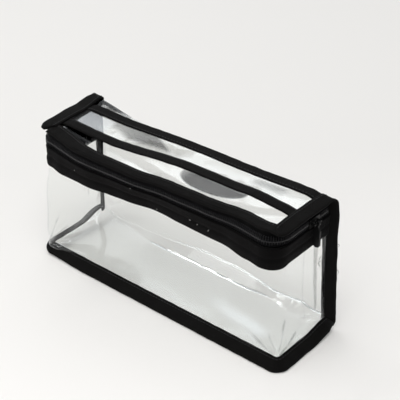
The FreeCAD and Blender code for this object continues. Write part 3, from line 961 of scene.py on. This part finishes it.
def band():
    """Black cloth band: folded top edge under the coil, one long crease, soft lower hem."""
    gather = Build()
    levels = [BAND_BOTTOM - 0.5, BAND_BOTTOM, BAND_BOTTOM + 1, BAND_BOTTOM + 2.5]
    outs = [0.2, 0.6, 0.9, 1.0]
    for z in frange(BAND_BOTTOM + 4, BAND_TOP, 12):
        height = z - BAND_BOTTOM
        levels.append(z)
        outs.append(1.1 - 0.55 * ridge(height - 7.5, 1.1) + 0.1 * math.sin(height * 0.5))
    levels += [BAND_TOP + 0.8, BAND_TOP + 1.2, BAND_TOP + 1.0]
    outs += [1.3, 1.0, 0.4]
    wall_strip(gather, levels, outs, seed=2.0, low_edge=0.5, left_drop=6.0)
    piece = thicken(gather.make("zip_band_cloth", [BAND_CLOTH]), thickness=0.6)
    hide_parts("zip_band")
    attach(piece, "bag")


def lint():
    """Specks of pale lint caught on the band."""
    gather = Build()
    left, right = WALL_STOPS[2:4]
    reach = ZIP_END - 9
    specks = ((34, 88, 0.5), (40, 86.8, 0.3), (49.5, 86, 0.8), (3, 82.5, 0.3), (-15, 95, 0.3),
              (-66, 90, 0.3))
    for k, (x, z, long) in enumerate(specks):
        u = left + (right - left) * (x + reach) / (2 * reach)
        start = wall(u, z, 1.75)
        turn = Vector((math.cos(k * 2.1), 0, math.sin(k * 2.1))) * long
        middle = start + Vector((0, -0.2, 0))
        gather.tube([start - turn, middle, start + turn], [0.12, 0.2, 0.12])
    piece = gather.make("band_lint", [LINT])
    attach(piece, "bag")


def coil_turn(u, sign):
    """Centres and radii of one turn of the coil, from inside the tape past the middle line."""
    centres = []
    radii = []
    for t in (-0.1, -0.05, 0.08, 0.25, 0.45, 0.65, 0.82, 0.92, 1.0):
        z = ZIP_MIDDLE + sign * (3.0 - 3.5 * t)
        out = 0.55 + 0.7 * math.sin(math.pi * min(0.1 + 0.55 * max(t, 0.0), 0.5))
        centres.append(wall(u, z, out - 1.1 * (1 - ramp(t, -0.1, 0.06))))
        radii.append(0.43 if t > 0.7 else 0.27)
    return centres, radii


def zip_half(upper):
    """One half of the zip: woven tape with its coil and the sewing over the coil."""
    name = "upper" if upper else "lower"
    body = "lid" if upper else "bag"
    sign = 1 if upper else -1
    far = LID_LEVEL + 1.0 if upper else BAND_BOTTOM + 4
    near = ZIP_MIDDLE + sign * 0.04
    gather = Build()
    levels = frange(min(near, far), max(near, far), 12)
    wall_strip(gather, levels, [-0.3] * len(levels), seed=5.0)
    piece = gather.make(f"zip_{name}_woven_tape", [ZIP_TAPE])
    thicken(piece, thickness=0.5)
    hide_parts(f"zip_{name}_tape")
    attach(piece, body)

    teeth = Build()
    round_length = 2 * DEPTH + 2 * ZIP_END - 14
    count = int(round_length / COIL_PITCH)
    for k in range(count):
        # The two halves' turns alternate, half a pitch apart.
        u = (k + (0.5 if upper else 0.0) + 0.5) / (count + 1)
        if 0.01 < u < 0.99:
            teeth.tube(*coil_turn(u, sign), sides=7)
    places = frange(0.006, 0.994, 500)
    normals = [wall_plan(u, ZIP_MIDDLE)[1] for u in places]
    for offset in (1.5, 2.7):
        line = [wall(u, ZIP_MIDDLE + sign * offset, 1.4) for u in places]
        stitch(teeth, line, normals, pitch=COIL_PITCH * 2, gap=0.5, radius=0.19)
    piece = teeth.make(f"zip_{name}_coil_teeth", [COIL, ZIP_THREAD])
    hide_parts(f"zip_{name}_coil")
    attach(piece, body)


def metal_parts():
    """The slider, its pull and the stops keep their CAD meshes, enamelled and softened."""
    for name in ("left_zip_stop", "right_zip_stop", "zip_slider", "zip_pull"):
        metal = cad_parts[name]
        metal.data.materials.clear()
        metal.data.materials.append(ENAMEL)
        soften = metal.modifiers.new("soften", "BEVEL")
        soften.width = 0.15 * MM
        soften.segments = 2
        soften.limit_method = "ANGLE"
        soften.angle_limit = math.radians(40)


# ---------------------------------------------------------------- studio


WHITE = (1, 1, 1)
DAYLIGHT = (0.93, 0.97, 1.0)

# Each light's name, its place and aim in metres, its width and height, watts and colour.
SOFTBOXES = (
    ("key", (-0.85, -0.87, 1.05), (0, 0, 0.05), 1.0, 0.7, 3.2, WHITE),
    ("fill", (0.5, -0.8, 2.2), (0.15, -0.3, 0), 1.4, 1.4, 20, WHITE),
    ("low_strip", (-0.95, -1.41, 0.5), (0, 0, 0.03), 1.1, 0.07, 2.5, WHITE),
    ("overhead", (-0.8, 0.1, 1.3), (0, 0, 0.03), 1.3, 0.12, 3.6, WHITE),
    ("window_high", (-1.02, 1.46, 1.62), (0, 0, 0.05), 1.3, 0.9, 3.0, DAYLIGHT),
    ("window_low", (-0.75, 1.61, 0.87), (0, 0, 0.05), 0.95, 0.5, 1.9, DAYLIGHT),
)

# The camera's direction from the bag, to the right of straight ahead and up, and its distance
# in metres from the point that it looks at.
AZIMUTH = math.radians(40.03)
ELEVATION = math.radians(33.39)
CAMERA_DISTANCE = 0.9602
CAMERA_AIM = Vector((15.2, 0.5, 83.0)) * MM


def floor():
    """A pale floor, painted a little lighter towards the camera, where the lamps light it less."""
    gather = Build()
    size = 4000
    gather.grid([[Vector((x, y, 0)) for x in (-size, size)] for y in (-size, size)])
    paper, tree, shader = new_material("floor_paper")
    place = node(tree, "ShaderNodeTexCoord").outputs["Object"]
    nearer = node(tree, "ShaderNodeVectorMath", {0: place, 1: (1, -1, 0)},
                  operation="DOT_PRODUCT").outputs["Value"]
    share = node(tree, "ShaderNodeMapRange", {0: nearer, 1: -0.25, 2: 0.25}).outputs[0]
    # Painted light: the floor's colour rises towards the camera, making up for weaker lamplight
    # there.
    tone = mix(tree, share, (0.80, 0.785, 0.755, 1), (0.94, 0.92, 0.885, 1))
    tree.links.new(tone, shader.inputs["Base Color"])
    shader.inputs["Roughness"].default_value = 0.9
    shader.inputs["Specular IOR Level"].default_value = 0.1
    gather.make("floor", [paper])


def sky():
    """Soft light from all round, brighter high up behind the bag's left end."""
    world = bpy.data.worlds.new("studio")
    world.use_nodes = True
    tree = world.node_tree
    background = tree.nodes["Background"]
    looking = node(tree, "ShaderNodeTexCoord").outputs["Generated"]
    toward = node(tree, "ShaderNodeVectorMath", {0: looking, 1: (-0.55, 0.35, 0.75)},
                  operation="DOT_PRODUCT").outputs["Value"]
    share = node(tree, "ShaderNodeMapRange", {0: toward, 1: -0.5, 2: 0.9}).outputs[0]
    shade = mix(tree, share, (0.32, 0.32, 0.33, 1), (1.01, 1.02, 1.05, 1))
    tree.links.new(shade, background.inputs["Color"])
    background.inputs["Strength"].default_value = 0.68
    bpy.context.scene.world = world


def softbox(name, place, aim, wide, tall, power, colour):
    """A rectangular area light at a place, turned to aim at another."""
    light = bpy.data.lights.new(name, "AREA")
    light.shape = "RECTANGLE"
    light.size = wide
    light.size_y = tall
    light.energy = power
    light.color = colour
    lamp = bpy.data.objects.new(name, light)
    lamp.location = place
    lamp.rotation_euler = (Vector(aim) - Vector(place)).to_track_quat("-Z", "Y").to_euler()
    bpy.context.scene.collection.objects.link(lamp)


def dark_card():
    """An upright dark card behind the bag, for its clear walls to reflect."""
    gather = Build()
    middle = Vector((-1466, 1208, 760))
    sideways = Vector((0.636, 0.772, 0)) * 320
    upwards = Vector((0, 0, 430))
    gather.grid([[middle + upwards * v + sideways * h for h in (-1, 1)] for v in (-1, 1)])
    gather.make("dark_card", [smooth_material("card", (0.03, 0.03, 0.03), 0.9)])


def camera():
    """The camera, at the photograph's angle."""
    back = Vector((
        math.sin(AZIMUTH) * math.cos(ELEVATION),
        -math.cos(AZIMUTH) * math.cos(ELEVATION),
        math.sin(ELEVATION),
    ))
    data = bpy.data.cameras.new("camera")
    data.sensor_width = 36
    data.lens = 126
    data.clip_start = 0.01
    data.clip_end = 50
    made = bpy.data.objects.new("camera", data)
    made.location = CAMERA_AIM + back * CAMERA_DISTANCE
    made.rotation_euler = (-back).to_track_quat("-Z", "Y").to_euler()
    bpy.context.scene.collection.objects.link(made)
    bpy.context.scene.camera = made


def studio():
    """Pale floor, soft lights, and a camera at the photographed angle."""
    floor()
    scene = bpy.context.scene
    scene.view_settings.view_transform = "Standard"
    scene.cycles.transparent_max_bounces = 40
    sky()
    for light in SOFTBOXES:
        softbox(*light)
    dark_card()
    camera()


front_wrap()
one_sheet()
bottom_seam()
side_seam(-1)
side_seam(1)
lid_front_seam()
handle()
band()
lint()
zip_half(True)
zip_half(False)
metal_parts()
studio()
